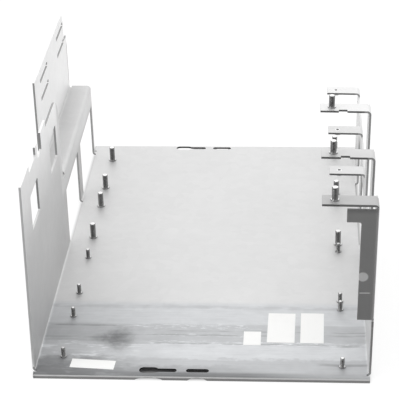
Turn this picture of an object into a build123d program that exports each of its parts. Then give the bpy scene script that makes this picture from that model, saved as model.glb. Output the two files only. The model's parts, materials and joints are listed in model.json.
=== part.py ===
from build123d import *
import os

# Folded sheet metal chassis: one bent sheet with a base, two side walls, a shelf and inward tabs,
# weld studs on the base and the tall tabs, clinch nuts in the low tabs, and blank paper labels.
# While modelling, X runs from the left wall's inner face, Y from the side walls' front edge and Z from
# the base's top face. The finished pieces are moved so that the origin is at the bottom centre.

# Sheet
sheet = 2.0               # thickness
bend = 2.0                # inside radius of every fold
relief = 3.0              # slit that frees the end of a fold
corner = 2.0              # rounding of cut-out corners
past = 1.0                # how far a cutting tool runs past the sheet

# Base and its end lips
base_width = 305.0        # between the inner faces of the side walls
wall_length = 448.0       # side walls, front to rear
front_overhang = 6.2      # base beyond the side walls at the front
rear_overhang = 18.5      # base beyond the side walls at the rear
strip_inset = 1.0         # ends of both overhangs, inside the side walls' outer faces
lip_drop = 5.5            # lower edge of the end lips below the base's top face

# Hook openings along each end of the base, from the left wall
keyhole_left = 96.0       # left end of the wide part
keyhole_wide = 18.0       # length of the wide part
keyhole_height = 9.0      # width of the wide part, front to rear
keyhole_reach = 34.5      # whole keyhole, left end to right end
slot_left = 139.0         # left end of the plain slot
slot_length = 21.0
slot_height = 5.4         # width of the plain slot and of the keyhole's narrow part
hook_inset = 8.0          # centre line of the hooks behind the lip's outer face
scallop_rise = 3.2        # height of the shallow arch in the lip under each hook
keyhole_scallop = 26.0    # width of the arch under the keyhole
slot_scallop = 18.0       # and under the plain slot

# Left wall, front part
wall_height = 183.0       # top of the left wall and of the upper wall
front_rake = 11.0         # set-back of its front edge at the top
front_wall_round = 24.0   # rounding of its rear top corner
opening_length = 40.0     # two rectangular openings
opening_height = 34.5
opening_drop = 47.3       # their centre below the top of the wall
opening_margin = 22.2     # wall behind the second opening
edge_notch_length = 36.0  # shallow notch in the top edge, over the first opening
edge_notch_depth = 7.5    # the same for the lowered edge behind edge_step
edge_step = 12.8          # lowered rear part of the top edge starts this far before the second opening
deep_notch_gap = 10.0     # between the shallow notch and the deep one
deep_notch_length = 21.0
deep_notch_depth = 16.5

# Left wall, rear part: legs, shelf and upper wall
shelf_level = 85.0        # top face of the shelf, and of the low tabs on the right
shelf_gap = 10.5          # between the front wall and the shelf
shelf_depth = 23.5        # from the lower wall's inner face to the upper wall's inner face
window_height = 61.0      # windows beside the base, on both sides
left_legs = (3.5, 19.5, 5.0)      # in front of, between and behind the two left windows
left_window_extra = 8.0   # how much longer the second left window is than the first
upper_short = 5.0         # end of the upper wall before the side walls' rear end
upper_step_depth = 34.0   # step cut from its rear top corner
upper_round = 12.0        # rounding of the corner above the step
vent_gap = 64.3           # between the two columns of slots in the upper wall
vent_margin = 2.0         # between the rear column and the step
vent_height = 5.3
vent_drops = (12.3, 32.0)         # centres of the slots below the top of the wall

# Right wall: low rail with windows, tall posts and inward tabs
right_lean = 0.9          # degrees that the whole right side leans out
right_legs = (29.5, 76.0)         # between and behind the two right windows
tall_drop = 9.0           # top face of the tall tabs below the top of the left wall
post_fronts = (0.0, 90.0, 189.0)
post_width = 31.0
tall_tab_length = 47.0    # from the wall's inner face to the free end
low_tab_backs = (218.0, 123.0, 20.0)      # front edges of the low tabs before the wall's rear end
low_tab_length = 35.0
tab_depth = 17.0          # front to rear
tab_notch_from_wall = 21.0
tab_notch_length = 8.3
tab_notch_depth = 2.8

# Stiffening flange on the front edge of the first post, shaped like a 7
flange_bottom = 59.5
flange_gap = 1.5          # slit between its top and the tab above it
flange_head_length = 25.5
flange_head_height = 12.5
flange_leg_length = 13.0

# Boards that the chassis carries: their places set the studs, openings and vents
board_count = 4
board_first = 56.5        # centre of the first board behind the walls' front edge
board_last = 56.1         # centre of the last board before the walls' rear edge
stud_row_inset = 23.6     # stud rows from the side walls
left_stud_gap = 42.7      # between the left studs of one board and the next
right_stud_gap = 14.7
right_row_back = 3.0      # the right row stands this far behind the left one
opening_shift = 12.5      # wall openings behind their board's centre

# Weld studs and clinch nuts
small_stud = 4.0
small_stud_height = 10.0
large_stud = 6.0
large_stud_height = 16.5
tab_stud_height = 12.5
tab_stud_from_wall = 36.0
collar_extra = 2.0        # how much wider the welded collar is than the thread
collar_height = 0.8
stud_chamfer = 0.6
nut_body = 8.0
nut_height = 3.0
nut_shank = 5.4
nut_thread = 3.3
nut_from_wall = 25.0
nut_clearance = 0.05      # around the shank in its hole

# Blank paper labels: name, centre from the left wall and the front edge, size, turn
label_thickness = 0.2
small_label_from_right = 107.2    # centres of three labels from the right wall
left_pair_from_right = 80.1
right_pair_from_right = 50.8
labels = (
    ("label_front_left", 52.3, 10.0, 41.0, 13.8, -4.0),
    ("label_small", base_width - small_label_from_right, 56.2, 16.3, 22.8, 0.0),
    ("label_left_pair", base_width - left_pair_from_right, 74.7, 26.0, 50.4, -0.8),
    ("label_right_pair", base_width - right_pair_from_right, 74.9, 22.0, 51.4, -0.8),
)

# Worked out from the sizes above
rail_top = shelf_level - sheet - bend               # where the folds of the shelf and low tabs begin
fold_leg = bend + relief                            # straight foot of the right wall on its fold
tall_level = wall_height - tall_drop
post_top = tall_level - sheet - bend - relief       # top of a tall post beside its tab
flange_top = tall_level - sheet - flange_gap
low_tab_fronts = [wall_length - back for back in low_tab_backs]
left_row = stud_row_inset
right_row = base_width - stud_row_inset
board_pitch = (wall_length - board_first - board_last) / (board_count - 1)
board_centres = [board_first + board_pitch * place for place in range(board_count)]
left_stud_spread = board_pitch - left_stud_gap      # spacing of the two left studs of a board
right_stud_spread = board_pitch - right_stud_gap
opening_level = wall_height - opening_drop
column_ends = [centre + opening_shift + opening_length / 2 for centre in board_centres]
opening_starts = [end - opening_length for end in column_ends[:2]]
edge_level = wall_height - edge_notch_depth
edge_notch_start = column_ends[0] - edge_notch_length
deep_notch_start = column_ends[0] + deep_notch_gap
low_edge_start = opening_starts[1] - edge_step
front_wall_length = column_ends[1] + opening_margin
shelf_start = front_wall_length + shelf_gap
left_window_room = wall_length - shelf_start - sum(left_legs)
left_window_lengths = ((left_window_room - left_window_extra) / 2, (left_window_room + left_window_extra) / 2)
left_window_starts = (shelf_start + left_legs[0], wall_length - left_legs[2] - left_window_lengths[1])
right_window_length = (wall_length - shelf_start - sum(right_legs)) / 2
right_window_starts = (shelf_start, wall_length - right_legs[1] - right_window_length)
upper_wall_end = wall_length - upper_short
vent_length = board_pitch - vent_gap
vent_starts = [end - vent_length for end in column_ends[2:]]
step_start = column_ends[-1] + vent_margin
vent_levels = [wall_height - drop for drop in vent_drops]
lean_out = Pos(base_width, 0, 0) * Rot(0, right_lean, 0) * Pos(-base_width, 0, 0)


def fold(points):
    """Section of a folded strip: its inner face follows points, with the sheet on their right."""
    line = [Vector(*point) for point in points]
    ways = [(after - before).normalized() for before, after in zip(line, line[1:])]
    sides = [Vector(way.Y, -way.X) * sheet for way in ways]
    back = [line[0] + sides[0]]
    near_radii = []
    back_radii = []
    for index in range(1, len(line) - 1):
        turns_left = ways[index - 1].cross(ways[index]).Z > 0
        open_turn = 1 + ways[index - 1].dot(ways[index])
        back.append(line[index] + (sides[index - 1] + sides[index]) * (1 / open_turn))
        near_radii.append(bend if turns_left else bend + sheet)
        back_radii.append(bend + sheet if turns_left else bend)
    back.append(line[-1] + sides[-1])
    near_edge = FilletPolyline(*line, radius=near_radii)
    back_edge = FilletPolyline(*back, radius=back_radii)
    ends = [Line(line[0], back[0]), Line(line[-1], back[-1])]
    return make_face([*near_edge.edges(), *back_edge.edges(), *ends])


def along_y(section, start, end):
    """Solid with an X-Z section, from start to end along Y."""
    return extrude(Plane.XZ.offset(-start) * section, amount=start - end)


def along_x(section, start, end):
    """Solid with a Y-Z section, from start to end along X."""
    return extrude(Plane.YZ.offset(start) * section, amount=end - start)


def along_z(section, start, end):
    """Solid with an X-Y section, from start to end along Z."""
    return extrude(Plane.XY.offset(start) * section, amount=end - start)


def block(x_range, y_range, z_range):
    """Box between two limits on each axis."""
    low = (x_range[0], y_range[0], z_range[0])
    size = (x_range[1] - x_range[0], y_range[1] - y_range[0], z_range[1] - z_range[0])
    return Pos(*low) * Box(*size, align=(Align.MIN, Align.MIN, Align.MIN))


def base_and_walls():
    """The tray: base, the foot of the right wall, and the left wall in its three stretches."""
    foot = (lean_out * Pos(base_width, 0, fold_leg)).position
    floor_path = [(0, 0), (base_width, 0), (foot.X, foot.Z)]
    front = along_y(fold([(0, wall_height), *floor_path]), 0, front_wall_length)
    bridge = along_y(fold([(0, rail_top), *floor_path]), front_wall_length, shelf_start)
    shelf_path = [(-shelf_depth, wall_height), (-shelf_depth, shelf_level), (0, shelf_level)]
    rear = along_y(fold([*shelf_path, *floor_path]), shelf_start, wall_length)
    return front + bridge + rear


def end_strips():
    """The base beyond the side walls at the front and rear, each with a lip turned down."""
    front_lip = -front_overhang + sheet
    rear_lip = wall_length + rear_overhang - sheet
    front = fold([(0, -sheet), (front_lip, -sheet), (front_lip, -lip_drop)])
    rear = fold([(rear_lip, -lip_drop), (rear_lip, -sheet), (wall_length, -sheet)])
    end = sheet - strip_inset
    return [along_x(strip, -end, base_width + end) for strip in (front, rear)]


def corner_reliefs():
    """Slits that part the side walls' folds from the end strips."""
    slits = []
    for side in ((-sheet - past, bend), (base_width - bend, base_width + sheet + past)):
        for end in ((-relief, 0), (wall_length, wall_length + relief)):
            slits.append(block(side, end, (-sheet - past, past + bend)))
    return slits


def tab(level, length, foot, start):
    """A strip that rises from foot on the right wall and folds inward at level."""
    path = [(base_width, foot), (base_width, level - sheet), (base_width - length, level - sheet)]
    return along_y(fold(path), start, start + tab_depth)


def right_side():
    """Rail, tall posts with their tabs, low tabs and flange, leaning out about the fold beside the base."""
    outer = (base_width, base_width + sheet)
    wall = block(outer, (0, wall_length), (fold_leg, rail_top))
    wall += [block(outer, (front, front + post_width), (rail_top, post_top)) for front in post_fronts]
    wall += [tab(tall_level, tall_tab_length, post_top, front) for front in post_fronts]
    wall += [tab(shelf_level, low_tab_length, rail_top - relief, front) for front in low_tab_fronts]
    wall -= [*flange_room(), *right_window_cuts(), *tab_cuts()]
    return lean_out * (wall + stiffening_flange())


def flange_room():
    """The first post's front edge, where the flange folds off it, and the slit under the first tab."""
    edge = block((base_width - past, base_width + sheet + past), (-past, bend),
                 (flange_bottom - relief, flange_top))
    slit = block((base_width - bend - past, base_width + sheet + past), (-past, bend + relief),
                 (flange_top, tall_level - sheet))
    return [edge, slit]


def stiffening_flange():
    """Flange folded inward from the first post's front edge: a head at the top and a leg below it."""
    fold_end = bend + relief / 2
    section = fold([(base_width - flange_head_length, 0), (base_width, 0), (base_width, fold_end)])
    whole = along_z(section, flange_bottom, flange_top)
    head_bottom = flange_top - flange_head_height
    left = base_width - flange_head_length
    cut_width = flange_head_length - flange_leg_length
    cut_height = head_bottom - flange_bottom
    cut = Rectangle(cut_width + past, cut_height + past, align=(Align.MIN, Align.MIN))
    cut = fillet(cut.vertices().group_by(Axis.Y)[-1].sort_by(Axis.X)[-1], corner)
    front_face = Plane((left - past, past, flange_bottom - past), x_dir=(1, 0, 0), z_dir=(0, -1, 0))
    return whole - extrude(front_face * cut, amount=sheet + 2 * past)


def wall_cut(x_range, y_start, y_length, z_start, z_height):
    """Rounded rectangular opening through a side wall."""
    outline = RectangleRounded(y_length, z_height, corner)
    centre = Pos(y_start + y_length / 2, z_start + z_height / 2)
    return along_x(centre * outline, x_range[0], x_range[1])


def corner_cut(x_range, end, top, radius):
    """What is cut away to round the rear top corner of a wall that ends at end and reaches up to top."""
    square = block(x_range, (end - radius, end + past), (top - radius, top + past))
    round_part = Pos(end - radius, top - radius) * Circle(radius)
    return square - along_x(round_part, x_range[0] - past, x_range[1] + past)


def front_wall_cuts():
    """Raked front edge, openings, notches, lowered edge and rounded corner of the left wall's front part."""
    side = (-sheet - past, past)
    top = wall_height + past
    rake = Polyline((-past, fold_leg), (0, fold_leg), (front_rake, wall_height), (front_rake, top),
                    (-past, top), close=True)
    opening_bottom = opening_level - opening_height / 2
    cuts = [wall_cut(side, start, opening_length, opening_bottom, opening_height) for start in opening_starts]
    cuts.append(along_x(make_face(rake.edges()), side[0], side[1]))
    cuts.append(block(side, (edge_notch_start, column_ends[0]), (edge_level, top)))
    cuts.append(block(side, (deep_notch_start, deep_notch_start + deep_notch_length),
                      (wall_height - deep_notch_depth, top)))
    cuts.append(block(side, (low_edge_start, front_wall_length), (edge_level, top)))
    cuts.append(corner_cut(side, front_wall_length, edge_level, front_wall_round))
    return cuts


def upper_wall_cuts():
    """Vents, rear end, step and rounded corner of the upper wall."""
    side = (-shelf_depth - sheet - past, -shelf_depth + past)
    fold_side = (side[0], -shelf_depth + bend)
    top = wall_height + past
    cuts = [wall_cut(side, start, vent_length, level - vent_height / 2, vent_height)
            for start in vent_starts for level in vent_levels]
    cuts.append(block(fold_side, (upper_wall_end, wall_length + past), (shelf_level - sheet - past, top)))
    cuts.append(block(side, (step_start, upper_wall_end + past), (wall_height - upper_step_depth, top)))
    cuts.append(corner_cut(side, step_start, wall_height, upper_round))
    return cuts


def left_window_cuts():
    """Windows beside the base on the left, which take the fold away and leave legs between them."""
    side = (-sheet - past, bend)
    return [block(side, (start, start + length), (-sheet - past, window_height))
            for start, length in zip(left_window_starts, left_window_lengths)]


def right_window_cuts():
    """The same on the right."""
    side = (base_width - bend, base_width + sheet + past)
    return [block(side, (start, start + right_window_length), (-sheet - past, window_height))
            for start in right_window_starts]


def hook_cuts():
    """Keyhole and slot near each end of the base, with a shallow arch in the lip under each."""
    wide_centre = keyhole_left + keyhole_wide / 2
    narrow_left = wide_centre - slot_height / 2
    narrow_length = keyhole_left + keyhole_reach - narrow_left
    slot_centre = slot_left + slot_length / 2
    hooks = Pos(wide_centre, 0) * SlotOverall(keyhole_wide, keyhole_height)
    hooks += Pos(narrow_left + narrow_length / 2, 0) * SlotOverall(narrow_length, slot_height)
    hooks += Pos(slot_centre, 0) * SlotOverall(slot_length, slot_height)
    arches = []
    for centre, width in ((wide_centre, keyhole_scallop), (slot_centre, slot_scallop)):
        radius = (width ** 2 / 4 + scallop_rise ** 2) / (2 * scallop_rise)
        arches.append(Pos(centre, -lip_drop + scallop_rise - radius) * Circle(radius))
    fold_depth = sheet + bend
    front_face = -front_overhang
    rear_face = wall_length + rear_overhang
    cuts = []
    for row, lip in ((front_face + hook_inset, (front_face - past, front_face + fold_depth)),
                     (rear_face - hook_inset, (rear_face - fold_depth, rear_face + past))):
        cuts.append(along_z(Pos(0, row) * hooks, -sheet - past, past))
        cuts += [along_y(arch, lip[0], lip[1]) for arch in arches]
    return cuts


def tab_cuts():
    """Notches in the front edges of the two rear tall tabs, and the nuts' holes in the low tabs."""
    notch_right = base_width - tab_notch_from_wall
    cuts = []
    for front in post_fronts[1:]:
        cuts.append(block((notch_right - tab_notch_length, notch_right),
                          (front - past, front + tab_notch_depth),
                          (tall_level - sheet - past, tall_level + past)))
    for x, y in nut_places():
        hole = Pos(x, y) * Circle(nut_shank / 2 + nut_clearance)
        cuts.append(along_z(hole, shelf_level - sheet - past, shelf_level + past))
    return cuts


def nut_places():
    """Centres of the clinch nuts, one in the middle of each low tab's depth."""
    return [(base_width - nut_from_wall, front + tab_depth / 2) for front in low_tab_fronts]


def folded_sheet():
    """The whole chassis, one bent sheet."""
    body = base_and_walls() + end_strips()
    body -= [*corner_reliefs(), *front_wall_cuts(), *upper_wall_cuts(),
             *left_window_cuts(), *right_window_cuts(),
             *hook_cuts()]
    return (body + right_side()).clean()


def weld_stud(diameter, height):
    """Threaded stud with the thin collar that its weld leaves; it stands on Z = 0."""
    radius = diameter / 2
    collar_radius = (diameter + collar_extra) / 2
    profile = Polyline(
        (0, 0), (collar_radius, 0), (collar_radius, collar_height), (radius, collar_height),
        (radius, height - stud_chamfer), (radius - stud_chamfer, height), (0, height), close=True)
    return revolve(Plane.XZ * make_face(profile.edges()), Axis.Z)


def clinch_nut():
    """Round nut whose shank fills the sheet's hole; its seat, under the sheet, is at Z = 0."""
    below = (Align.CENTER, Align.CENTER, Align.MAX)
    above = (Align.CENTER, Align.CENTER, Align.MIN)
    nut = Cylinder(nut_body / 2, nut_height, align=below) + Cylinder(nut_shank / 2, sheet, align=above)
    return nut - Pos(0, 0, -nut_height) * Cylinder(nut_thread / 2, nut_height + sheet, align=above)


def paired(centres, row, spread, back=0.0):
    """Two stud places for each board centre, on one row that may stand further back."""
    return [Pos(row, centre + back + side * spread / 2, 0) for centre in centres for side in (-1, 1)]


def group(piece, places):
    """Copies of one fastener, moved to the finished frame, as separate solids of one node."""
    return Compound(children=[to_origin * place * piece for place in places])


def label(x, y, width, length, turn):
    """Blank label lying on the base, moved to the finished frame."""
    paper = Box(width, length, label_thickness, align=(Align.CENTER, Align.CENTER, Align.MIN))
    return to_origin * Pos(x, y, 0) * Rot(0, 0, turn) * paper


front_boards = board_centres[:2]
rear_boards = board_centres[2:]
right_large_places = paired(rear_boards, right_row, right_stud_spread, right_row_back)
right_large_places.append(Pos(0, right_stud_gap) * right_large_places[-1])    # one more before the rear edge
tab_stud_places = [lean_out * Pos(base_width - tab_stud_from_wall, front + tab_depth / 2, tall_level)
                   for front in post_fronts]
tab_nut_places = [lean_out * Pos(x, y, shelf_level - sheet) for x, y in nut_places()]

chassis = folded_sheet()
box = chassis.bounding_box()
to_origin = Pos(-box.center().X, -box.center().Y, -box.min.Z)
small = weld_stud(small_stud, small_stud_height)
large = weld_stud(large_stud, large_stud_height)
nodes = {
    "chassis": to_origin * chassis,
    "small_studs_left": group(small, paired(front_boards, left_row, left_stud_spread)),
    "small_studs_right": group(small, paired(front_boards, right_row, right_stud_spread, right_row_back)),
    "large_studs_left": group(large, paired(rear_boards, left_row, left_stud_spread)),
    "large_studs_right": group(large, right_large_places),
    "tab_studs": group(weld_stud(large_stud, tab_stud_height), tab_stud_places),
    "tab_nuts": group(clinch_nut(), tab_nut_places),
}
for name, *place_and_size in labels:
    nodes[name] = label(*place_and_size)

os.makedirs("parts", exist_ok=True)
for name, piece in nodes.items():
    export_step(piece, f"parts/{name}.step")
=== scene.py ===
import json
import math
from collections import namedtuple

import bmesh
import bpy
from mathutils import Matrix, Vector


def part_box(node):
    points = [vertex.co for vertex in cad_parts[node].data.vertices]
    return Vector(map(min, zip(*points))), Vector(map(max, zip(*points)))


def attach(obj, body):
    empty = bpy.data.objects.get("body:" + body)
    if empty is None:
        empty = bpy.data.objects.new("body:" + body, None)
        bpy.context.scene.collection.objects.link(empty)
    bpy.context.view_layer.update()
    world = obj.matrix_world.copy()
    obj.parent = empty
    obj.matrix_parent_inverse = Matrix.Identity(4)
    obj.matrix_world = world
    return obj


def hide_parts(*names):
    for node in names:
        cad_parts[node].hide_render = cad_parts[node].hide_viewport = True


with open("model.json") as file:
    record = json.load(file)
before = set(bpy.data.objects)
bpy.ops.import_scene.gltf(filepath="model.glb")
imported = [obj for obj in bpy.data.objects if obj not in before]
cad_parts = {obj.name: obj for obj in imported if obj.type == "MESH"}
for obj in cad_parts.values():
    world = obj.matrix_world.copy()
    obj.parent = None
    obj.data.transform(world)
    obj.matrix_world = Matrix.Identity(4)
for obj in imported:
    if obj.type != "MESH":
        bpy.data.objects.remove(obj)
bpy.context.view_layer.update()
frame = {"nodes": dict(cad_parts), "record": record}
nodes = frame["nodes"]

# The working frame, in millimetres, starts at the left wall's inner face, the side walls' front edge and
# the base's top face. The row frame, in metres, has its origin at the bottom centre.
MM_PER_M = 1000
UPPER_WALL_OUTER = -25.5
FRONT_LIP = -6.2
LIP_BOTTOM = -5.5
chassis_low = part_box("chassis")[0]
WORK_ORIGIN = Vector((chassis_low.x - UPPER_WALL_OUTER / MM_PER_M,
                      chassis_low.y - FRONT_LIP / MM_PER_M,
                      chassis_low.z - LIP_BOTTOM / MM_PER_M))


def row(x, y, z):
    """A point of the working frame, in millimetres, as a point of the row frame, in metres."""
    return WORK_ORIGIN + Vector((x, y, z)) / MM_PER_M


# Places on the folded sheet, in the working frame
BASE_WIDTH = 305.0
FOLD_START = -5.6             # the base's top ends here, on the front lip's fold
ABOVE_BASE = 0.5              # the base's top face lies below this level
BASE_UNDER = -1.9             # and its under face below this one
BASE_UNDER_SOFT = 0.1
FRONT_WALL_END = 212.0
SHELF_LEVEL = 85.0
BETWEEN_WALLS = -5.0          # the front and lower walls lie right of this, the upper wall left of it
UPPER_WALL_INNER = -23.5
UPPER_WALL_END = 443.0
VENT_LEVELS = (140.0, 176.0)  # all the vents lie between these heights
LOWERED_EDGE_START = 149.0    # the left wall's lowered rear top edge
LOWERED_EDGE_LEVEL = 175.5
LOWERED_EDGE_HALF = 2.0       # its faces lie this close to that level
LEADING_EDGE_END = 12.5       # the left wall's raked front edge lies before this
HOOK_SPAN = (50.0, 250.0)     # the keyholes and slots lie between these
FLANGE_LEFT = 276.0
FLANGE_LOW = 50.0
TAB_SPAN = (240.0, 313.0)     # left and right ends of the right side's tabs, with their bends
TAB_EDGE_END = 303.0          # where their straight front edges end
TALL_TAB_LOW = 168.0          # the tall tabs lie above this level
LOW_TAB_HALF = 5.0            # the low tabs lie this close to the shelf's level


# Fasteners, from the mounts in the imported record

STUD_NODES = {
    "small_studs_left": "small_stud_left",
    "small_studs_right": "small_stud_right",
    "large_studs_left": "large_stud_left",
    "large_studs_right": "large_stud_right",
    "tab_studs": "tab_stud",
}
BASE_STUDS = ("small_stud", "large_stud")
LABEL_NODES = ("label_front_left", "label_small", "label_left_pair", "label_right_pair")


def mounts(start):
    """The record's mounts whose names begin with start."""
    return [mount for mount in frame["record"]["mounts"] if mount["name"].startswith(start)]


# Node trees

NOISE_MIDDLE = 0.5


class Nodes:
    """Short names for building a node tree."""

    def __init__(self, tree):
        self.tree = tree
        self.tree.nodes.clear()

    def add(self, kind, **settings):
        node = self.tree.nodes.new(kind)
        for key, value in settings.items():
            setattr(node, key, value)
        return node

    def link(self, source, target):
        self.tree.links.new(source, target)

    def put(self, value, socket):
        """Links another node's output to a socket, or sets a plain value on it."""
        if isinstance(value, bpy.types.NodeSocket):
            self.link(value, socket)
        else:
            socket.default_value = value

    def math(self, operation, a, b=0.0, c=0.0):
        node = self.add("ShaderNodeMath", operation=operation)
        for value, socket in zip((a, b, c), node.inputs):
            self.put(value, socket)
        return node.outputs[0]

    def times(self, *values):
        product = values[0]
        for value in values[1:]:
            product = self.math("MULTIPLY", product, value)
        return product

    def apart(self, value, place):
        """How far value lies from place, to either side."""
        return self.math("ABSOLUTE", self.math("SUBTRACT", value, place))

    def square(self, across, along):
        """Square of a flat vector's length."""
        return self.math("ADD", self.times(across, across), self.times(along, along))

    def distance(self, a, b, centre_a, centre_b):
        """Distance of a point from a centre, on two of the axes."""
        across = self.math("SUBTRACT", a, centre_a)
        along = self.math("SUBTRACT", b, centre_b)
        return self.math("SQRT", self.square(across, along))

    def vary(self, value, noise, amount):
        """Value with a noise added, which swings by amount about its own middle."""
        return self.math("MULTIPLY_ADD", self.math("SUBTRACT", noise, NOISE_MIDDLE), amount, value)

    def ramp(self, value, low, high, start=0.0, end=1.0):
        """Smooth step of value from low to high, which gives start to end."""
        node = self.add("ShaderNodeMapRange", interpolation_type="SMOOTHSTEP")
        node.inputs["From Min"].default_value = low
        node.inputs["From Max"].default_value = high
        node.inputs["To Min"].default_value = start
        node.inputs["To Max"].default_value = end
        self.put(value, node.inputs["Value"])
        return node.outputs["Result"]

    def below(self, value, edge, soft):
        """1 where value is under edge, 0 above it, with a step of soft to both sides."""
        return self.ramp(value, edge - soft, edge + soft, 1.0, 0.0)

    def above(self, value, edge, soft):
        return self.ramp(value, edge - soft, edge + soft, 0.0, 1.0)

    def between(self, value, low, high, soft):
        return self.times(self.above(value, low, soft), self.below(value, high, soft))

    def fade(self, value, end):
        """1 at 0 and under it, fading out to 0 at end."""
        return self.below(value, end / 2, end / 2)

    def darken(self, tone, mask, share):
        """Takes a share off tone where mask is 1; a negative share makes it lighter."""
        return self.math("MULTIPLY", tone, self.math("MULTIPLY_ADD", mask, -share, 1.0))

    def noise(self, vector, scale, detail=3.0, roughness=0.55):
        node = self.add("ShaderNodeTexNoise")
        node.inputs["Scale"].default_value = scale
        node.inputs["Detail"].default_value = detail
        node.inputs["Roughness"].default_value = roughness
        self.link(vector, node.inputs["Vector"])
        return node.outputs["Fac"]

    def mapped(self, vector, location=(0, 0, 0), rotation=(0, 0, 0), scale=(1, 1, 1)):
        node = self.add("ShaderNodeMapping")
        node.inputs["Location"].default_value = location
        node.inputs["Rotation"].default_value = rotation
        node.inputs["Scale"].default_value = scale
        self.link(vector, node.inputs["Vector"])
        return node.outputs["Vector"]

    def stretched(self, vector, pattern):
        """Noise with its own cycles along each axis, turned about the vertical."""
        turned = self.mapped(vector, rotation=(0, 0, pattern.turn), scale=pattern.cycles)
        return self.noise(turned, 1.0, pattern.detail, pattern.roughness)

    def axes(self, vector):
        node = self.add("ShaderNodeSeparateXYZ")
        self.link(vector, node.inputs[0])
        return node.outputs[0], node.outputs[1], node.outputs[2]

    def grey(self, tone, tint=(1.0, 1.0, 1.0)):
        """A grey as a colour, whose red, green and blue are multiplied by tint."""
        colour = self.add("ShaderNodeCombineColor")
        for socket, share in zip(colour.inputs, tint):
            self.put(self.math("MULTIPLY", tone, share), socket)
        return colour.outputs[0]

    def mix(self, factor, a, b):
        """Colour a where factor is 0, b where it is 1."""
        node = self.add("ShaderNodeMix", data_type="RGBA")
        self.put(factor, node.inputs["Factor"])
        self.put(a, node.inputs[6])
        self.put(b, node.inputs[7])
        return node.outputs[2]

    def blend(self, factor, a, b):
        """Number a where factor is 0, b where it is 1."""
        node = self.add("ShaderNodeMix", data_type="FLOAT")
        self.put(factor, node.inputs["Factor"])
        self.put(a, node.inputs[2])
        self.put(b, node.inputs[3])
        return node.outputs[0]

    def bump(self, height, strength, distance):
        node = self.add("ShaderNodeBump")
        node.inputs["Strength"].default_value = strength
        node.inputs["Distance"].default_value = distance
        self.link(height, node.inputs["Height"])
        return node.outputs["Normal"]

    def surface(self, shader):
        out = self.add("ShaderNodeOutputMaterial")
        self.link(shader.outputs[0], out.inputs["Surface"])


def new_material(name):
    material = bpy.data.materials.new(name)
    material.use_nodes = True
    return material, Nodes(material.node_tree)


# Noise patterns of the sheet: cycles per millimetre along each axis, detail, roughness and turn
Pattern = namedtuple("Pattern", "cycles detail roughness turn", defaults=(0.0,))
GRAIN = Pattern((0.03, 0.8, 0.8), 3.0, 0.55)
WANDER = Pattern((0.02, 0.002, 0.02), 2.0, 0.55)
PATCHES = Pattern((0.045, 0.11, 0.05), 4.0, 0.6)
BLOTS = Pattern((0.09, 0.12, 0.1), 5.0, 0.65)
BRUSHING = Pattern((0.02, 0.75, 0.1), 4.0, 0.6)
STREAKS = Pattern((0.11, 0.8, 0.1), 3.0, 0.6)
SCRAPES = Pattern((0.04, 0.14, 0.1), 3.0, 0.6, 0.9)


# Marks on the base

# Stains, and painted shade along the front fold, that reach from the front to end, and bands, in
# millimetres from the walls' front edge, with the softness of their borders and the share of light they
# take; a negative share makes them lighter
Stain = namedtuple("Stain", "end soft share")
Band = namedtuple("Band", "start end soft share")
WORN_ZONE = Stain(117.0, 5.0, 0.06)
DULL_BAND = Band(48.0, 79.0, 2.0, 0.13)
CLEAN_BAND = Band(23.0, 43.0, 3.0, -0.05)
FRONT_STAIN = Stain(20.0, 2.0, 0.12)
LEFT_STAIN = Stain(24.0, 2.0, 0.20)
MIDDLE_STAIN = Stain(9.0, 4.0, 0.20)
# painted shade: a dark reflection along the front fold, darker again in its middle stretch
FOLD_SHADE = Stain(-2.0, 5.0, 0.20)
FOLD_MIDDLE_SHADE = Stain(-1.0, 2.0, 0.30)

# How far some of them reach from the left, and how softly they end there
LEFT_STAIN_SIDE = (70.0, 25.0)
MIDDLE_STAIN_SIDE = (190.0, 60.0)
FOLD_MIDDLE_SHADE_SIDES = (90.0, 230.0, 40.0)
CORNER_FADE = (150.0, 180.0)  # the base is darker at its front left corner, fading out to the right and to the rear
CORNER_SHARE = 0.24

# How far the noises push the borders about, from one extreme to the other
LINE_WANDER = 5.0
PATCH_WANDER = 14.0
BLOT_WANDER = 16.0
FOLD_WANDER = 6.0

WORN_MOTTLE = 0.22            # unevenness of the worn zone
BRUSHED_SHARE = 0.9           # its brushed part, compared with its patches
WORN_TINT = (0.035, 0.02, 0.0)    # red, green and blue that the worn zone loses

# Rubbed lines across the base, with the stretch from left to right that each one takes
RubLine = namedtuple("RubLine", "at half share left right")
RUB_LINES = (
    RubLine(109.5, 3.0, 0.10, -10, 320),
    RubLine(75.5, 1.1, 0.24, 8, 70),
    RubLine(67.3, 0.7, 0.20, 120, 320),
    RubLine(60.5, 0.8, 0.24, 60, 230),
    RubLine(55.0, 1.2, 0.14, 0, 60),
    RubLine(62.0, 1.2, 0.16, 270, 320),
    RubLine(46.0, 0.9, 0.26, 85, 300),
    RubLine(44.0, 1.0, 0.20, 265, 320),
    RubLine(13.5, 1.8, 0.22, 262, 320),
)
RUB_LINE_SOFT = 0.7           # of the line's half width
RUB_LINE_TIP = 6.0            # softness of a line's ends
RUB_LINE_GAPS = (0.28, 0.56)  # the lines fade out where the patches are under these

# Handling smears on the base
Smear = namedtuple("Smear", "x y half_x half_y share")
SMEARS = (
    Smear(72.0, 52.0, 17.0, 22.0, 0.44),
    Smear(59.0, 52.0, 15.0, 12.0, 0.26),
)
SMEAR_RAGGED = 1.6
SMEAR_BORDER = (0.45, 0.75)   # border and softness, in squares of the half sizes

# Bright scuffs, where boxes were slid over the stains
Scuff = namedtuple("Scuff", "near far left right")
SCUFFS = (
    Scuff(70.5, 79.0, 75.0, 205.0),
    Scuff(44.0, 51.0, 100.0, 300.0),
    Scuff(58.0, 63.0, 105.0, 200.0),
)
SCUFF_BORDER = (0.58, 0.03)   # border and softness, in the streaks' noise
SCUFF_SOFT = 1.5
SCUFF_TIP = 18.0
SCUFF_SHARE = -0.32

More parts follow.
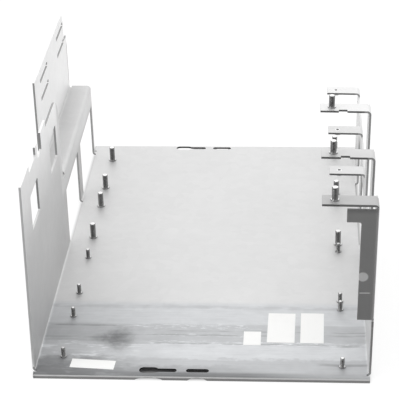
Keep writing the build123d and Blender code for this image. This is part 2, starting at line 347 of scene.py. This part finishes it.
# Slanting bright scrapes near the front left corner
SCRAPE_BORDER = (0.56, 0.06)
SCRAPE_SIDE = (85.0, 20.0)
SCRAPE_END = (52.0, 8.0)
SCRAPE_SHARE = -0.24

# Painted shade in a ring round each stud's foot
FOOT_SHADE_WIDTH = 1.6
FOOT_SHADE_SOFT = 1.2
FOOT_SHADE_SHARE = 0.22


def stains_and_fold_shade(n, x, y, line_y, edge_y, patch, tone):
    """Dull, stained and clean zones of the base's front, a darker front left corner, and painted shade
    along the front fold.
    """
    corner = n.times(n.fade(x, CORNER_FADE[0]), n.fade(y, CORNER_FADE[1]))
    left = n.times(n.below(edge_y, LEFT_STAIN.end, LEFT_STAIN.soft), n.below(x, *LEFT_STAIN_SIDE))
    middle = n.times(n.below(edge_y, MIDDLE_STAIN.end, MIDDLE_STAIN.soft), n.below(x, *MIDDLE_STAIN_SIDE))
    # painted shade along the front fold, with a ragged border
    fold_y = n.vary(y, patch, FOLD_WANDER)
    hooks = n.times(n.below(y, FOLD_MIDDLE_SHADE.end, FOLD_MIDDLE_SHADE.soft), n.between(x, *FOLD_MIDDLE_SHADE_SIDES))
    tone = n.darken(tone, n.below(line_y, WORN_ZONE.end, WORN_ZONE.soft), WORN_ZONE.share)
    tone = n.darken(tone, corner, CORNER_SHARE)
    for band, along in ((DULL_BAND, line_y), (CLEAN_BAND, edge_y)):
        tone = n.darken(tone, n.between(along, band.start, band.end, band.soft), band.share)
    tone = n.darken(tone, n.below(edge_y, FRONT_STAIN.end, FRONT_STAIN.soft), FRONT_STAIN.share)
    tone = n.darken(tone, left, LEFT_STAIN.share)
    tone = n.darken(tone, middle, MIDDLE_STAIN.share)
    tone = n.darken(tone, n.below(fold_y, FOLD_SHADE.end, FOLD_SHADE.soft), FOLD_SHADE.share)
    return n.darken(tone, hooks, FOLD_MIDDLE_SHADE.share)


def mottle(n, place, line_y, patch, tone):
    """Uneven, brushed look of the worn zone."""
    uneven = n.vary(n.math("SUBTRACT", patch, NOISE_MIDDLE), n.stretched(place, BRUSHING), BRUSHED_SHARE)
    return n.darken(tone, n.times(n.below(line_y, WORN_ZONE.end, WORN_ZONE.soft), uneven), WORN_MOTTLE)


def rub_lines(n, x, line_y, patch, tone):
    """Thin dark lines across the base, broken by the patches."""
    broken = n.ramp(patch, *RUB_LINE_GAPS)
    for line in RUB_LINES:
        width = n.below(n.apart(line_y, line.at), line.half, line.half * RUB_LINE_SOFT)
        stretch = n.between(x, line.left, line.right, RUB_LINE_TIP)
        tone = n.darken(tone, n.times(width, stretch, broken), line.share)
    return tone


def smears(n, x, y, blot, tone):
    """Dark smears with ragged borders."""
    for smear in SMEARS:
        across = n.math("DIVIDE", n.math("SUBTRACT", x, smear.x), smear.half_x)
        along = n.math("DIVIDE", n.math("SUBTRACT", y, smear.y), smear.half_y)
        ragged = n.vary(n.square(across, along), blot, SMEAR_RAGGED)
        tone = n.darken(tone, n.below(ragged, *SMEAR_BORDER), smear.share)
    return tone


def scuffs(n, place, x, y, line_y, tone):
    """Bright dashes along the rubbed bands, and slanting scrapes near the front left corner."""
    dashes = n.above(n.stretched(place, STREAKS), *SCUFF_BORDER)
    for scuff in SCUFFS:
        band = n.between(line_y, scuff.near, scuff.far, SCUFF_SOFT)
        stretch = n.between(x, scuff.left, scuff.right, SCUFF_TIP)
        tone = n.darken(tone, n.times(dashes, band, stretch), SCUFF_SHARE)
    scrapes = n.above(n.stretched(place, SCRAPES), *SCRAPE_BORDER)
    corner = n.times(scrapes, n.below(x, *SCRAPE_SIDE), n.below(y, *SCRAPE_END))
    return n.darken(tone, corner, SCRAPE_SHARE)


def stud_foot_shade(n, x, y, tone):
    """Painted shade in a ring round the foot of each stud on the base."""
    for name in BASE_STUDS:
        for mount in mounts(name):
            spot = (Vector(mount["pos_m"]) - WORK_ORIGIN) * MM_PER_M
            reach = mount["dims"]["r_mm"] + FOOT_SHADE_WIDTH
            foot_shade = n.below(n.distance(x, y, spot.x, spot.y), reach, FOOT_SHADE_SOFT)
            tone = n.darken(tone, foot_shade, FOOT_SHADE_SHARE)
    return tone


def base_marks_and_shade(n, place, x, y, tone):
    """All the marks of the base's top face, and the painted shade along its front fold and round the
    studs' feet.
    """
    patch = n.stretched(place, PATCHES)
    blot = n.stretched(place, BLOTS)
    line_y = n.vary(y, n.stretched(place, WANDER), LINE_WANDER)
    edge_y = n.vary(n.vary(y, patch, PATCH_WANDER), blot, BLOT_WANDER)
    tone = stains_and_fold_shade(n, x, y, line_y, edge_y, patch, tone)
    tone = mottle(n, place, line_y, patch, tone)
    tone = rub_lines(n, x, line_y, patch, tone)
    tone = smears(n, x, y, blot, tone)
    tone = scuffs(n, place, x, y, line_y, tone)
    return stud_foot_shade(n, x, y, tone)


# Painted light and shade on the walls, the tabs and the flange, and the flange's marks

# Softness of the borders between the sheet's faces, in millimetres
CRISP = 0.2
FINE = 0.3
CLEAR = 0.5
SOFT = 1.0

PAST_FACE = 0.3               # a wall's mask ends this far past the wall's inner face
# painted highlight: the upper wall is lighter
UPPER_WALL_HIGHLIGHT = -0.24
FRONT_WALL_FADE = 190.0       # the front wall's painted shade low down fades out up to this level
FRONT_WALL_FOOT_SHADE = 0.17
FRONT_WALL_HIGHLIGHT_START = (140.0, 45.0)    # level and softness of the painted highlight on its top
FRONT_WALL_HIGHLIGHT = -0.30
SHELF_FACES = (-6.0, 1.0)     # the shelf's faces lie between these, from its level
SHELF_SHADE_SIDE = (-8.0, 14.0)     # place and softness of the painted shade on its outer part
SHELF_SHADE = 0.15
LEG_TOP = -20.0               # the legs between the windows end here, from the shelf's level
LEG_SOFT = 6.0
# painted shade on the legs low down
LEG_SHADE = 0.14
SHELF_BEND = 3.0


def wall_light_and_shade(n, x, y, z, tone):
    """Painted light and shade on the left side: painted shade low down and on the shelf, painted
    highlight towards its top.
    """
    left = n.below(x, PAST_FACE, CRISP)
    above_shelf = n.above(z, SHELF_LEVEL + SHELF_BEND, SHELF_BEND)
    upper = n.times(left, above_shelf, n.below(x, BETWEEN_WALLS, SOFT))
    front = n.times(left, n.above(x, BETWEEN_WALLS, SOFT), n.below(y, FRONT_WALL_END, SOFT))
    behind = n.times(left, n.above(y, FRONT_WALL_END, SOFT))
    shelf_low, shelf_high = (SHELF_LEVEL + face for face in SHELF_FACES)
    shelf = n.times(behind, n.between(z, shelf_low, shelf_high, SOFT))
    legs = n.times(behind, n.below(z, SHELF_LEVEL + LEG_TOP, LEG_SOFT))
    tone = n.darken(tone, upper, UPPER_WALL_HIGHLIGHT)
    tone = n.darken(tone, n.times(front, n.fade(z, FRONT_WALL_FADE)), FRONT_WALL_FOOT_SHADE)
    tone = n.darken(tone, n.times(front, n.above(z, *FRONT_WALL_HIGHLIGHT_START)), FRONT_WALL_HIGHLIGHT)
    tone = n.darken(tone, n.times(shelf, n.below(x, *SHELF_SHADE_SIDE)), SHELF_SHADE)
    return n.darken(tone, legs, LEG_SHADE)


TALL_TAB_LIGHT = (0.0, 200.0, 0.75, 1.14)    # painted light on the tabs: from and to, front to rear, and the tone's factors there
LOW_TAB_LIGHT = (330.0, 430.0, 1.0, 1.14)
TALL_TAB_SOFT = 3.0


def tab_light_and_shade(n, x, y, z, tone):
    """Painted light on the tabs: painted shade in front, painted highlight behind."""
    tabs = n.between(x, TAB_SPAN[0], TAB_SPAN[1], SOFT)
    tall = n.times(tabs, n.above(z, TALL_TAB_LOW, TALL_TAB_SOFT))
    low = n.times(tabs, n.between(z, SHELF_LEVEL - LOW_TAB_HALF, SHELF_LEVEL + LOW_TAB_HALF, SOFT))
    tone = n.times(tone, n.blend(tall, 1.0, n.ramp(y, *TALL_TAB_LIGHT)))
    return n.times(tone, n.blend(low, 1.0, n.ramp(y, *LOW_TAB_LIGHT)))


# painted shade on the flange's front face
FLANGE_SHADE = 0.49
FLANGE_SHADE_DEPTH = 0.5       # the painted shade on the flange reaches up to this depth from the walls' front edge
FLANGE_PLAIN_DEPTH = 0.3      # up to this depth it isn't a cut edge
SCRATCH_AND_HIGHLIGHT_TONE = 0.92             # reflectance of the scratch and the pale spot, and of the painted highlight on the left wall's leading edge
PALE_SPOT = (297.0, 104.0)     # pale round spot, across and up
PALE_SPOT_RADIUS = 4.6
PALE_SPOT_SOFT = 0.7
SCRATCH = (299.0, 87.5)       # level scratch, across and up
SCRATCH_HALF = (4.5, 0.5)


def flange_front(n, x, y, z, depth, soft):
    """The stiffening flange's front face, up to a depth from the walls' front edge."""
    return n.times(n.below(y, depth, soft), n.above(z, FLANGE_LOW, SOFT), n.above(x, FLANGE_LEFT, CLEAR))


def flange_shade_and_marks(n, x, y, z, tone):
    """Stiffening flange with painted shade on its front face, a pale round spot and a scratch."""
    front = flange_front(n, x, y, z, FLANGE_SHADE_DEPTH, FINE)
    spot = n.below(n.distance(x, z, *PALE_SPOT), PALE_SPOT_RADIUS, PALE_SPOT_SOFT)
    long = n.below(n.apart(x, SCRATCH[0]), SCRATCH_HALF[0], SOFT)
    thin = n.below(n.apart(z, SCRATCH[1]), SCRATCH_HALF[1], FINE)
    tone = n.darken(tone, front, FLANGE_SHADE)
    tone = n.blend(n.times(front, spot), tone, SCRATCH_AND_HIGHLIGHT_TONE)
    return n.blend(n.times(front, long, thin), tone, SCRATCH_AND_HIGHLIGHT_TONE)


# Cut edges of the sheet

FACING = 0.9                  # a face looks along an axis when that part of its direction is above this
FACING_SOFT = 0.05
RAW_EDGE = 0.42               # reflectance of cut steel without zinc
RAW_EDGE_CYCLES = 0.6
RAW_EDGE_SPREAD = 0.12
TAB_EDGE = 0.20               # dark sheared edge of the tabs
HOOK_SHADE_TONE = 0.06              # painted shade inside the keyholes and slots
HOOK_LEVELS = (-1.95, -0.05)  # it lies between these levels
HOOK_SOFT = 0.03
UPRIGHT = (0.5, 0.1)          # a face is upright when the upward part of its direction is under this
LEADING_LOW = 3.0             # the painted highlight on the leading edge starts above this level
LEADING_RIGHT = 1.0           # and left of this
INNER_EDGES = (1.0, 304.0)    # edges that look to the side lie between the side walls
LOWERED_EDGE_SPAN = (-2.5, 0.3)   # the lowered edge lies between these, from left to right
REAR_SHADE_LENGTH = 2.5             # the painted shade line at the upper wall's rear edge is this long
REAR_SHADE_LOW = 6.0                # it starts this far above the shelf
REAR_SHADE_SOFT = 3.0


class CutEdges:
    """Masks of the sheet's cut edges, from the faces' own direction and place."""

    def __init__(self, n, x, y, z):
        self.n = n
        self.x, self.y, self.z = x, y, z
        way = n.add("ShaderNodeNewGeometry").outputs["True Normal"]
        self.way_x, self.way_y, self.way_z = (n.math("ABSOLUTE", value) for value in n.axes(way))
        self.leading = self.leading_edge()

    def facing(self, way):
        return self.n.above(way, FACING, FACING_SOFT)

    def leading_edge(self):
        """The left wall's raked front edge, which gets a painted highlight."""
        n = self.n
        wall = n.times(n.below(self.x, LEADING_RIGHT, CLEAR), n.above(self.x, BETWEEN_WALLS, CLEAR))
        edge = n.times(wall, n.below(self.y, LEADING_EDGE_END, CLEAR), self.facing(self.way_y))
        return n.times(edge, n.above(self.z, LEADING_LOW, SOFT))

    def front_edges(self):
        """Edges that look to the front or the rear, without the flange's face and the leading edge."""
        n = self.n
        flange = flange_front(n, self.x, self.y, self.z, FLANGE_PLAIN_DEPTH, CRISP)
        plain = n.math("SUBTRACT", 1.0, n.math("MAXIMUM", flange, self.leading))
        return n.times(self.facing(self.way_y), n.above(self.z, BASE_UNDER, BASE_UNDER_SOFT), plain)

    def side_edges(self):
        return self.n.times(self.facing(self.way_x), self.n.between(self.x, *INNER_EDGES, CLEAR))

    def lowered_edge(self):
        """The left wall's lowered rear top edge."""
        n = self.n
        low = LOWERED_EDGE_LEVEL - LOWERED_EDGE_HALF
        high = LOWERED_EDGE_LEVEL + LOWERED_EDGE_HALF
        place = n.times(n.between(self.z, low, high, CLEAR), n.above(self.y, LOWERED_EDGE_START, CLEAR))
        return n.times(self.facing(self.way_z), n.between(self.x, *LOWERED_EDGE_SPAN, CRISP), place)

    def rear_shade_line(self):
        """Painted shade line at the upper wall's rear end."""
        n = self.n
        wall = n.below(self.x, UPPER_WALL_INNER + PAST_FACE, CRISP)
        return n.times(wall, n.above(self.y, UPPER_WALL_END - REAR_SHADE_LENGTH, FINE),
                       n.between(self.z, SHELF_LEVEL + REAR_SHADE_LOW, VENT_LEVELS[0], REAR_SHADE_SOFT))

    def vents(self):
        """Long faces of the vents."""
        n = self.n
        return n.times(self.facing(self.way_z), n.below(self.x, UPPER_WALL_INNER, FINE),
                       n.between(self.z, *VENT_LEVELS, CLEAR))

    def hooks(self):
        """Inside of the keyholes and slots in the base, which gets painted shade."""
        n = self.n
        return n.times(n.below(self.way_z, *UPRIGHT), n.between(self.z, *HOOK_LEVELS, HOOK_SOFT),
                       n.between(self.x, *HOOK_SPAN, SOFT))

    def raw(self):
        """All edges of cut steel, and the painted shade line at the upper wall's rear end."""
        total = self.n.math("ADD", self.vents(), self.lowered_edge())
        for edge in (self.front_edges(), self.side_edges(), self.rear_shade_line()):
            total = self.n.math("ADD", total, edge)
        return self.n.math("MINIMUM", total, 1.0)

    def on_tabs(self):
        n = self.n
        return n.times(n.between(self.x, TAB_SPAN[0], TAB_EDGE_END, SOFT),
                       n.above(self.z, SHELF_LEVEL - LOW_TAB_HALF, SOFT))


def edge_tones(n, place, x, y, z, tone):
    """Dark cut edges, darker ones on the tabs, painted shade inside the hooks and the painted highlight
    on the leading edge.
    """
    edges = CutEdges(n, x, y, z)
    cut = edges.raw()
    tone = n.blend(cut, tone, n.vary(RAW_EDGE, n.noise(place, RAW_EDGE_CYCLES), RAW_EDGE_SPREAD))
    tone = n.blend(n.times(cut, edges.on_tabs()), tone, TAB_EDGE)
    tone = n.blend(edges.hooks(), tone, HOOK_SHADE_TONE)
    return n.blend(edges.leading, tone, SCRATCH_AND_HIGHLIGHT_TONE)


# Materials

ZINC = 0.74                   # reflectance of the clean zinc coat
SHEET_METALLIC = 0.8          # the dull coat scatters some light as paint does
SPANGLE_CELLS = 0.12          # zinc crystals per millimetre
CLOUD_CYCLES = 0.012
CLOUD_DETAIL = 4.0
CLOUD_SPREAD = 0.10
GRAIN_SPREAD = 0.03
SPANGLE_SPREAD = 0.02
SHEET_ROUGHNESS = 0.58
SHEET_ROUGHNESS_SPREAD = 0.12
STAIN_ROUGHNESS = 0.25        # dark places are rougher by this share of the difference in tone
LEAST_ROUGHNESS = 0.3
GRAIN_BUMP = (0.04, 0.0002)   # strength and distance in metres
LIP_SHADE_TOP = -3.0           # the front lip gets painted shade below this level
LIP_SHADE = 0.62
FOLD_SOFT = 0.4


def base_top(n, y, z):
    """The base's top face, up to the front lip's fold."""
    level = n.times(n.below(z, ABOVE_BASE, FINE), n.above(z, BASE_UNDER, BASE_UNDER_SOFT))
    return n.times(level, n.above(y, FOLD_START, FOLD_SOFT))


def zinc_coat(n, place, grain, cloud):
    """Tone of the clean zinc: clouds, rolling grain and faint crystals."""
    spangle = n.add("ShaderNodeTexVoronoi", feature="F1")
    spangle.inputs["Scale"].default_value = SPANGLE_CELLS
    n.link(place, spangle.inputs["Vector"])
    crystal = n.axes(spangle.outputs["Color"])[0]
    tone = n.vary(ZINC, cloud, CLOUD_SPREAD)
    tone = n.vary(tone, grain, GRAIN_SPREAD)
    return n.vary(tone, crystal, SPANGLE_SPREAD)


def galvanised_steel():
    """Satin zinc-coated sheet: faint spangle and rolling grain, stained base, raw cut edges, and painted
    light and shade on the fold, lip, walls, tabs, flange and some edges.
    """
    material, n = new_material("galvanised_sheet")
    position = n.add("ShaderNodeTexCoord").outputs["Object"]
    place = n.mapped(position, location=-WORK_ORIGIN * MM_PER_M, scale=(MM_PER_M, MM_PER_M, MM_PER_M))
    x, y, z = n.axes(place)
    shader = n.add("ShaderNodeBsdfPrincipled")
    shader.inputs["Metallic"].default_value = SHEET_METALLIC

    grain = n.stretched(place, GRAIN)
    cloud = n.noise(place, CLOUD_CYCLES, CLOUD_DETAIL)
    base = base_top(n, y, z)
    lip = n.times(n.below(z, LIP_SHADE_TOP, CLEAR), n.below(y, FOLD_START, CLEAR))
    tone = zinc_coat(n, place, grain, cloud)
    tone = n.blend(base, tone, base_marks_and_shade(n, place, x, y, tone))
    tone = wall_light_and_shade(n, x, y, z, tone)
    tone = tab_light_and_shade(n, x, y, z, tone)
    tone = flange_shade_and_marks(n, x, y, z, tone)
    tone = n.darken(tone, lip, LIP_SHADE)
    tone = edge_tones(n, place, x, y, z, tone)
    worn = n.times(base, n.below(y, WORN_ZONE.end, WORN_ZONE.soft))
    tint = [n.math("MULTIPLY_ADD", worn, -share, 1.0) for share in WORN_TINT]
    n.link(n.grey(tone, tint), shader.inputs["Base Color"])

    rough = n.vary(SHEET_ROUGHNESS, cloud, SHEET_ROUGHNESS_SPREAD)
    rough = n.math("MULTIPLY_ADD", n.math("SUBTRACT", ZINC, tone), STAIN_ROUGHNESS, rough)
    n.link(n.math("MAXIMUM", rough, LEAST_ROUGHNESS), shader.inputs["Roughness"])
    n.link(n.bump(grain, *GRAIN_BUMP), shader.inputs["Normal"])
    n.surface(shader)
    return material


PLATING_CYCLES = 420.0        # per metre
PLATING_LOW = 0.75            # of the tone, at its darkest
PLATING_SPREAD = 0.45
PLATING_ROUGHNESS_SPREAD = 0.2
TOP_HIGHLIGHT = 0.9              # painted highlight on faces that look upward: the studs' ends and the tops of their collars
UPWARD = (0.95, 0.03)         # they look upward: border and softness


def plated_steel(name, tone, roughness):
    """Dull plated steel for studs and nuts, with a painted highlight on faces that look upward."""
    material, n = new_material(name)
    place = n.add("ShaderNodeTexCoord").outputs["Object"]
    shader = n.add("ShaderNodeBsdfPrincipled")
    shader.inputs["Metallic"].default_value = 1.0
    patch = n.noise(place, PLATING_CYCLES)
    upward = n.axes(n.add("ShaderNodeNewGeometry").outputs["True Normal"])[2]
    worn = n.math("MULTIPLY_ADD", patch, PLATING_SPREAD * tone, PLATING_LOW * tone)
    n.link(n.grey(n.blend(n.above(upward, *UPWARD), worn, TOP_HIGHLIGHT)), shader.inputs["Base Color"])
    n.link(n.vary(roughness, patch, PLATING_ROUGHNESS_SPREAD), shader.inputs["Roughness"])
    n.surface(shader)
    return material


PAPER_WHITE = (0.95, 0.95, 0.94, 1)
PAPER_HANDLED = (0.91, 0.91, 0.90, 1)
PAPER_ROUGHNESS = 0.6
FIBRE_CYCLES = 900.0          # per metre
FIBRE_BUMP = (0.2, 0.0001)    # strength and distance in metres
SMUDGE_CYCLES = 60.0
SMUDGE_RANGE = (0.5, 0.8)


def label_paper():
    """Blank white paper with a faint tooth and a few handling marks."""
    material, n = new_material("label_paper")
    place = n.add("ShaderNodeTexCoord").outputs["Object"]
    shader = n.add("ShaderNodeBsdfPrincipled")
    handled = n.ramp(n.noise(place, SMUDGE_CYCLES), *SMUDGE_RANGE)
    n.link(n.mix(handled, PAPER_WHITE, PAPER_HANDLED), shader.inputs["Base Color"])
    shader.inputs["Roughness"].default_value = PAPER_ROUGHNESS
    n.link(n.bump(n.noise(place, FIBRE_CYCLES), *FIBRE_BUMP), shader.inputs["Normal"])
    n.surface(shader)
    return material


def dress(node, material):
    """Gives a CAD node one material."""
    nodes[node].data.materials.clear()
    nodes[node].data.materials.append(material)


# Threaded studs, which stand for the plain studs of the CAD model

STUD_SIDES = 24
STEPS_PER_TURN = 6
COLLAR_EXTRA = 2.0            # as in the part: collar wider than the thread
COLLAR_HEIGHT = 0.8
COLLAR_STRAIGHT = 0.55        # share of the collar's height under its bevel
COLLAR_BEVEL = 0.35
STUD_CHAMFER = 0.6
PITCHES = {2.0: 0.7, 3.0: 1.0}    # thread pitch for each thread radius
THREAD_DEPTH = 0.6134         # of the pitch
FLANK_STEEPNESS = 1.25        # above 1, the thread's crests and roots are flat
SHARP_ANGLE = math.radians(32)


def groove(phase):
    """Depth of the thread's groove, from 0 to 1, at a phase of its turn."""
    depth = FLANK_STEEPNESS * (1 - abs(2 * phase - 1)) - (FLANK_STEEPNESS - 1) / 2
    return min(1.0, max(0.0, depth))


def stud_rings(radius, length):
    """Heights and radii of a stud's rings, from its foot to its top."""
    pitch = PITCHES[radius]
    depth = THREAD_DEPTH * pitch
    collar = radius + COLLAR_EXTRA / 2
    start = COLLAR_HEIGHT
    end = COLLAR_HEIGHT + length
    rings = [(0.0, [collar] * STUD_SIDES),
             (COLLAR_STRAIGHT * COLLAR_HEIGHT, [collar] * STUD_SIDES),
             (COLLAR_HEIGHT, [collar - COLLAR_BEVEL] * STUD_SIDES)]
    count = round(length / pitch * STEPS_PER_TURN)
    for step in range(count + 1):
        height = start + length * step / count
        fade = min(1.0, (height - start) / pitch, (end - height) / pitch)
        phases = [(height / pitch - side / STUD_SIDES) % 1.0 for side in range(STUD_SIDES)]
        rings.append((height, [radius - depth * fade * groove(phase) for phase in phases]))
    rings.append((end + STUD_CHAMFER, [radius - STUD_CHAMFER] * STUD_SIDES))
    return rings


def add_stud(mesh, place, radius, length):
    """Adds one closed threaded stud to a bmesh; place takes millimetres on its axis to the row frame."""
    turns = [2 * math.pi * side / STUD_SIDES for side in range(STUD_SIDES)]
    loops = []
    for height, radii in stud_rings(radius, length):
        loops.append([mesh.verts.new(place @ Vector((r * math.cos(turn), r * math.sin(turn), height)))
                      for r, turn in zip(radii, turns)])
    for low, high in zip(loops, loops[1:]):
        for side in range(STUD_SIDES):
            after = (side + 1) % STUD_SIDES
            mesh.faces.new((low[side], low[after], high[after], high[side]))
    mesh.faces.new(reversed(loops[0]))
    mesh.faces.new(loops[-1])


def threaded_studs(node, start, material):
    """One piece with a node's threaded studs, on the axes of the record's mounts."""
    mesh = bmesh.new()
    for mount in mounts(start):
        axis = Vector(mount["axis"])
        length = mount["dims"]["length_mm"]
        foot = Vector(mount["pos_m"]) - axis * (length / 2 + COLLAR_HEIGHT) / MM_PER_M
        turn = axis.to_track_quat("Z", "Y").to_matrix().to_4x4()
        place = Matrix.Translation(foot) @ turn @ Matrix.Scale(1 / MM_PER_M, 4)
        add_stud(mesh, place, mount["dims"]["r_mm"], length)
    data = bpy.data.meshes.new(f"threaded_{node}")
    mesh.to_mesh(data)
    mesh.free()
    data.shade_smooth()
    data.set_sharp_from_angle(angle=SHARP_ANGLE)
    data.materials.append(material)
    piece = bpy.data.objects.new(f"threaded_{node}", data)
    bpy.context.scene.collection.objects.link(piece)
    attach(piece, "root")
    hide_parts(node)


STUD_LOOK = (0.22, 0.2)       # tone and roughness
NUT_LOOK = (0.55, 0.4)

sheet_steel = galvanised_steel()
stud_steel = plated_steel("stud_steel", *STUD_LOOK)
nut_steel = plated_steel("nut_steel", *NUT_LOOK)
paper = label_paper()
dress("chassis", sheet_steel)
dress("tab_nuts", nut_steel)
for stud_node, mount_start in STUD_NODES.items():
    dress(stud_node, stud_steel)
    threaded_studs(stud_node, mount_start, stud_steel)
for label_node in LABEL_NODES:
    dress(label_node, paper)


# Floor and dark cards

def stage_sheet(name, corners, material):
    """A flat piece of the studio, which isn't part of the object."""
    mesh = bpy.data.meshes.new(name)
    mesh.from_pydata(corners, [], [tuple(range(len(corners)))])
    mesh.materials.append(material)
    sheet = bpy.data.objects.new(name, mesh)
    bpy.context.scene.collection.objects.link(sheet)
    return sheet


WHITE = (1, 1, 1, 1)
FLOOR_REACH = 8.0
FLOOR_TONE = (0.3, 0.3, 0.3, 1)
FLOOR_GLOW = 0.74             # share of the floor's white that the object's shadow doesn't touch
SHADE_START = -4.0            # the dark floor under the base, in the working frame
SHADE_END = 450.0
SHADE_SOFT = 0.004


def under_base(n):
    """1 on the floor under the base, where no light comes."""
    x, y = n.axes(n.add("ShaderNodeTexCoord").outputs["Object"])[:2]
    across = n.between(x, row(0, 0, 0).x, row(BASE_WIDTH, 0, 0).x, SHADE_SOFT)
    along = n.between(y, row(0, SHADE_START, 0).y, row(0, SHADE_END, 0).y, SHADE_SOFT)
    return n.times(across, along)


def floor_sheet():
    """Pale floor, lifted to white for the camera and for reflections, with the object's soft shadow."""
    material, n = new_material("floor_white")
    path = n.add("ShaderNodeLightPath")
    mirrored = n.math("MAXIMUM", path.outputs["Is Glossy Ray"], path.outputs["Is Transmission Ray"])
    seen = n.math("MAXIMUM", path.outputs["Is Camera Ray"], mirrored)
    open_floor = n.math("SUBTRACT", 1.0, under_base(n))
    glow = n.add("ShaderNodeEmission")
    glow.inputs["Color"].default_value = WHITE
    n.link(n.times(seen, open_floor, FLOOR_GLOW), glow.inputs["Strength"])
    lit = n.add("ShaderNodeBsdfDiffuse")
    lit.inputs["Color"].default_value = FLOOR_TONE
    both = n.add("ShaderNodeAddShader")
    n.link(glow.outputs[0], both.inputs[0])
    n.link(lit.outputs[0], both.inputs[1])
    n.surface(both)
    reach = FLOOR_REACH
    corners = [(-reach, -reach, 0), (reach, -reach, 0), (reach, reach, 0), (-reach, reach, 0)]
    stage_sheet("floor", corners, material)


CARD_TONE = (0.18, 0.18, 0.18, 1)
CARD_SIDE = 0.9
CARD_FAR = -1.3
CARD_GAP = 0.006              # between the lying card and the front lip
CARD_LIFT = 0.001             # the lying card's height above the floor
FLAG_HEIGHT = 0.55


def dark_card(name, corners):
    """Dark card, seen only in reflections, that gives the metal its dark front faces."""
    material, n = new_material(name)
    lit = n.add("ShaderNodeBsdfDiffuse")
    lit.inputs["Color"].default_value = CARD_TONE
    n.surface(lit)
    card = stage_sheet(name, corners, material)
    card.visible_camera = False
    card.visible_diffuse = False
    card.visible_shadow = False


def front_cards():
    """One dark card lying on the floor before the object, and one standing at its far end."""
    near = chassis_low.y - CARD_GAP
    dark_card("front_card", [(-CARD_SIDE, CARD_FAR, CARD_LIFT), (CARD_SIDE, CARD_FAR, CARD_LIFT),
                             (CARD_SIDE, near, CARD_LIFT), (-CARD_SIDE, near, CARD_LIFT)])
    dark_card("front_flag", [(-CARD_SIDE, CARD_FAR, 0.0), (CARD_SIDE, CARD_FAR, 0.0),
                             (CARD_SIDE, CARD_FAR, FLAG_HEIGHT), (-CARD_SIDE, CARD_FAR, FLAG_HEIGHT)])


# Light and camera

WORLD_LIGHT = 1.0
REAR_GLOW = 0.35              # share by which the tent is brighter low behind the object
REAR_RANGE = (0.86, 0.99)     # cosines between which that glow sets in
REAR_SIDE = 0.05
REAR_RISE = math.radians(18)
REAR_WAY = Vector((REAR_SIDE, math.cos(REAR_RISE), math.sin(REAR_RISE))).normalized()


def studio_world():
    """White tent of even light, a little brighter low behind the object."""
    world = bpy.data.worlds.new("studio")
    bpy.context.scene.world = world
    world.use_nodes = True
    n = Nodes(world.node_tree)
    way = n.add("ShaderNodeTexCoord").outputs["Generated"]
    toward = n.add("ShaderNodeVectorMath", operation="DOT_PRODUCT")
    n.link(way, toward.inputs[0])
    toward.inputs[1].default_value = REAR_WAY
    glow = n.ramp(toward.outputs["Value"], *REAR_RANGE, 0.0, REAR_GLOW)
    room = n.add("ShaderNodeBackground")
    room.inputs["Color"].default_value = WHITE
    n.link(n.math("MULTIPLY_ADD", glow, WORLD_LIGHT, WORLD_LIGHT), room.inputs["Strength"])
    out = n.add("ShaderNodeOutputWorld")
    n.link(room.outputs[0], out.inputs["Surface"])


KEY_PLACE = Vector((-0.9, -0.5, 1.4))
KEY_AIM = Vector((0.0, 0.0, 0.02))
KEY_SIZE = 0.7
KEY_POWER = 4.2


def key_softbox():
    """Soft lamp high on the left, which lights the left sides of the studs."""
    lamp = bpy.data.lights.new("softbox", "AREA")
    lamp.shape = "SQUARE"
    lamp.size = KEY_SIZE
    lamp.energy = KEY_POWER
    softbox = bpy.data.objects.new("softbox", lamp)
    softbox.location = KEY_PLACE
    softbox.rotation_euler = (KEY_AIM - KEY_PLACE).to_track_quat("-Z", "Y").to_euler()
    bpy.context.scene.collection.objects.link(softbox)


FOCAL_PIXELS = 1514.972
PHOTO_WIDTH = 400
SENSOR = 36.0
LENS_REACH = 50.0
PITCH = math.radians(28.2606)
YAW = math.radians(-4.3322)
ROLL = math.radians(-1.6489)
CAMERA_PLACE = row(242.73, -1138.43, 791.67)


def photo_camera():
    """Camera fitted to the photograph's folds, edges and hardware."""
    forward = Vector((math.sin(YAW) * math.cos(PITCH), math.cos(YAW) * math.cos(PITCH), -math.sin(PITCH)))
    level = forward.cross(Vector((0, 0, 1))).normalized()
    upright = level.cross(forward)
    right = math.cos(ROLL) * level + math.sin(ROLL) * upright
    up = math.cos(ROLL) * upright - math.sin(ROLL) * level
    turn = Matrix((right, up, -forward)).transposed()
    lens = bpy.data.cameras.new("camera")
    lens.sensor_width = SENSOR
    lens.lens = FOCAL_PIXELS * SENSOR / PHOTO_WIDTH
    lens.clip_end = LENS_REACH
    camera = bpy.data.objects.new("camera", lens)
    camera.matrix_world = Matrix.Translation(CAMERA_PLACE) @ turn.to_4x4()
    bpy.context.scene.collection.objects.link(camera)
    bpy.context.scene.camera = camera


floor_sheet()
front_cards()
studio_world()
key_softbox()
photo_camera()
bpy.context.scene.view_settings.view_transform = "Standard"
